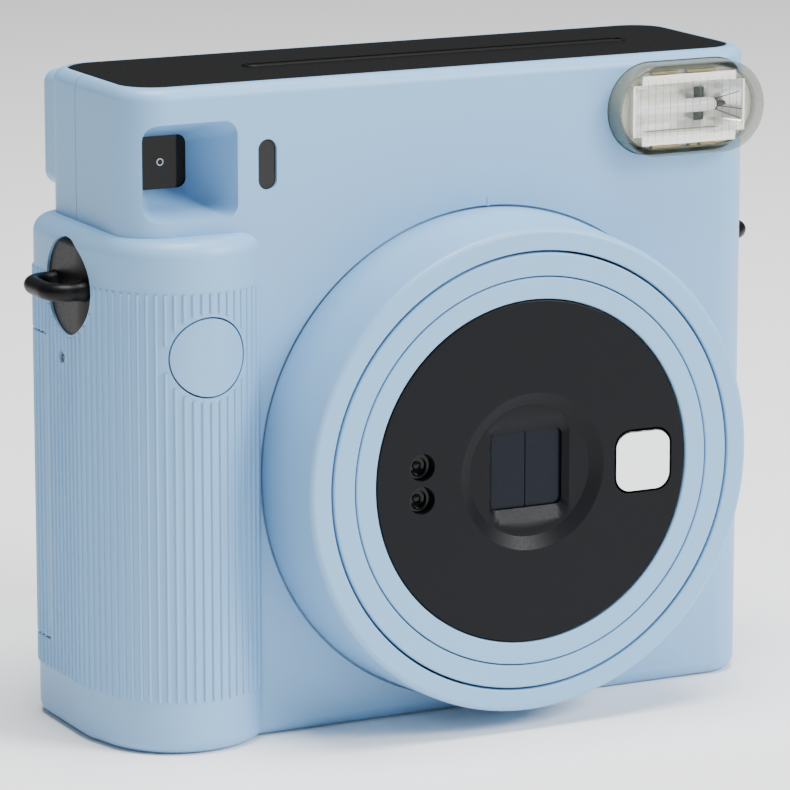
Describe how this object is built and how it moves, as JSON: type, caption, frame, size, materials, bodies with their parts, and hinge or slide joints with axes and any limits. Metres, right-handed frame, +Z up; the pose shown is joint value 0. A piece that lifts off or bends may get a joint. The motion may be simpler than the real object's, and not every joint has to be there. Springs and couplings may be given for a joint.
{
  "type": "instant camera",
  "caption": "Instant camera for square film: pale blue shell with ribbed grip, big turning lens dial, flash, viewfinder, top film exit, strap lugs, and opening film and battery covers.",
  "frame": {"origin": "on the base, midway across the width and midway through the depth of the body", "axes": "+Z up, the lens looks along -Y, +X to the right of the lens as it is faced"},
  "size_m": [0.144, 0.0624, 0.1189],
  "materials": {
    "black_plastic": "matte",
    "blue_plastic": "fine matte texture",
    "brass": "satin",
    "cell_can": "printed sleeve",
    "circuit_board": "solder mask",
    "clear_plastic": "clear",
    "dark_glass": "tinted",
    "gear_plastic": "natural",
    "glass": "clear",
    "mirror": "polished",
    "reflector": "bright",
    "satin_black": "satin",
    "steel": "satin",
    "white_plastic": "matte"
  },
  "bodies": {
    "body": {"front_shell": "blue_plastic", "rear_shell": "blue_plastic", "grip_cover": "blue_plastic", "top_plate": "black_plastic", "viewfinder_window": "dark_glass", "viewfinder_tube": "black_plastic", "eyepiece_housing": "blue_plastic", "eyepiece_lens": "glass", "light_sensor_window": "dark_glass", "flash_cover": "clear_plastic", "flash_base": "white_plastic", "flash_reflector": "reflector", "flash_tube": "glass", "flash_capacitor": "black_plastic", "main_board": "circuit_board", "strap_lug_left": "black_plastic", "strap_lug_right": "black_plastic", "film_chamber": "black_plastic", "film_pack": "black_plastic", "barrel_guide": "black_plastic", "battery_tray": "black_plastic", "battery_cells": "cell_can", "battery_contacts": "brass", "release_switch": "black_plastic", "grip_screw": "steel", "counter_window": "glass", "roller_bracket": "steel", "drive_motor": "steel", "hinge_pins": "steel"},
    "dial": {"lens_dial": "blue_plastic", "dial_retainer": "black_plastic"},
    "barrel": {"lens_barrel": "blue_plastic", "barrel_trim_ring": "blue_plastic", "front_plate": "satin_black", "selfie_mirror": "mirror", "sensor_windows": "dark_glass", "shutter_housing": "black_plastic", "front_lens": "glass", "rear_lens": "glass"},
    "cover_left": {"cover_blade_left": "black_plastic"},
    "cover_right": {"cover_blade_right": "black_plastic"},
    "leaf_left": {"shutter_blade_left": "steel"},
    "leaf_right": {"shutter_blade_right": "steel"},
    "button": {"shutter_button": "blue_plastic"},
    "door": {"back_door": "blue_plastic", "film_window": "glass", "pressure_springs": "steel"},
    "latch": {"door_latch": "blue_plastic"},
    "battery_cover": {"battery_door": "blue_plastic"},
    "front_roller": {"roller_front": "steel"},
    "rear_roller": {"roller_rear": "steel"},
    "pinion": {"motor_pinion": "brass"},
    "idler": {"idler_gear": "gear_plastic"},
    "claw": {"film_claw": "steel"},
    "counter": {"counter_dial": "white_plastic"}
  },
  "joints": [
    {"name": "dial_turn", "type": "hinge", "parent": "body", "child": "dial", "pos_m": [0.0093, -0.02875, 0.0479], "axis": [0, 1, 0], "range_deg": [0, 90]},
    {"name": "barrel_slide", "type": "slide", "parent": "body", "child": "barrel", "axis": [0, -1, 0], "range_m": [0, 0.01]},
    {"name": "cover_left_slide", "type": "slide", "parent": "barrel", "child": "cover_left", "axis": [-1, 0, 0], "range_m": [0, 0.0076]},
    {"name": "cover_right_slide", "type": "slide", "parent": "barrel", "child": "cover_right", "axis": [1, 0, 0], "range_m": [0, 0.0076]},
    {"name": "leaf_left_swing", "type": "hinge", "parent": "barrel", "child": "leaf_left", "pos_m": [0.0043, -0.02975, 0.0394], "axis": [0, -1, 0], "range_deg": [0, 32], "stiffness_Nm_per_rad": 0.002, "springref_deg": -5.73},
    {"name": "leaf_right_swing", "type": "hinge", "parent": "barrel", "child": "leaf_right", "pos_m": [0.0143, -0.02975, 0.0394], "axis": [0, 1, 0], "range_deg": [0, 32]},
    {"name": "shutter_press", "type": "slide", "parent": "body", "child": "button", "axis": [0, 1, 0], "range_m": [0, 0.0012], "stiffness_N_per_m": 600, "springref_m": -0.0005},
    {"name": "door_swing", "type": "hinge", "parent": "body", "child": "door", "pos_m": [0.062, 0.01705, 0.058], "axis": [0, 0, -1], "range_deg": [0, 100]},
    {"name": "latch_slide", "type": "slide", "parent": "door", "child": "latch", "axis": [0, 0, -1], "range_m": [0, 0.003], "stiffness_N_per_m": 200, "springref_m": -0.001},
    {"name": "battery_cover_slide", "type": "slide", "parent": "body", "child": "battery_cover", "axis": [-1, 0, 0], "range_m": [0, 0.024]},
    {"name": "front_roller_spin", "type": "hinge", "parent": "body", "child": "front_roller", "pos_m": [0.0093, -0.0017, 0.1075], "axis": [1, 0, 0], "continuous": true},
    {"name": "rear_roller_spin", "type": "hinge", "parent": "body", "child": "rear_roller", "pos_m": [0.0093, 0.0037, 0.1075], "axis": [1, 0, 0], "continuous": true},
    {"name": "idler_spin", "type": "hinge", "parent": "body", "child": "idler", "pos_m": [0.053, -0.0072, 0.09982], "axis": [1, 0, 0], "continuous": true},
    {"name": "pinion_spin", "type": "hinge", "parent": "body", "child": "pinion", "pos_m": [0.053, -0.0072, 0.09082], "axis": [1, 0, 0], "continuous": true},
    {"name": "claw_slide", "type": "slide", "parent": "body", "child": "claw", "axis": [0, 0, 1], "range_m": [0, 0.008]},
    {"name": "counter_turn", "type": "hinge", "parent": "body", "child": "counter", "pos_m": [-0.0406, 0.01675, 0.022], "axis": [0, 1, 0], "range_deg": [0, 324]}
  ],
  "couplings": [
    {"joint": "barrel_slide", "follows": "dial_turn", "m_per_rad": 0.0063662},
    {"joint": "cover_left_slide", "follows": "dial_turn", "m_per_rad": 0.0048383},
    {"joint": "cover_right_slide", "follows": "dial_turn", "m_per_rad": 0.0048383},
    {"joint": "leaf_right_swing", "follows": "leaf_left_swing", "ratio": 1},
    {"joint": "rear_roller_spin", "follows": "front_roller_spin", "ratio": -1},
    {"joint": "idler_spin", "follows": "front_roller_spin", "ratio": -0.4},
    {"joint": "pinion_spin", "follows": "front_roller_spin", "ratio": 1.2}
  ]
}
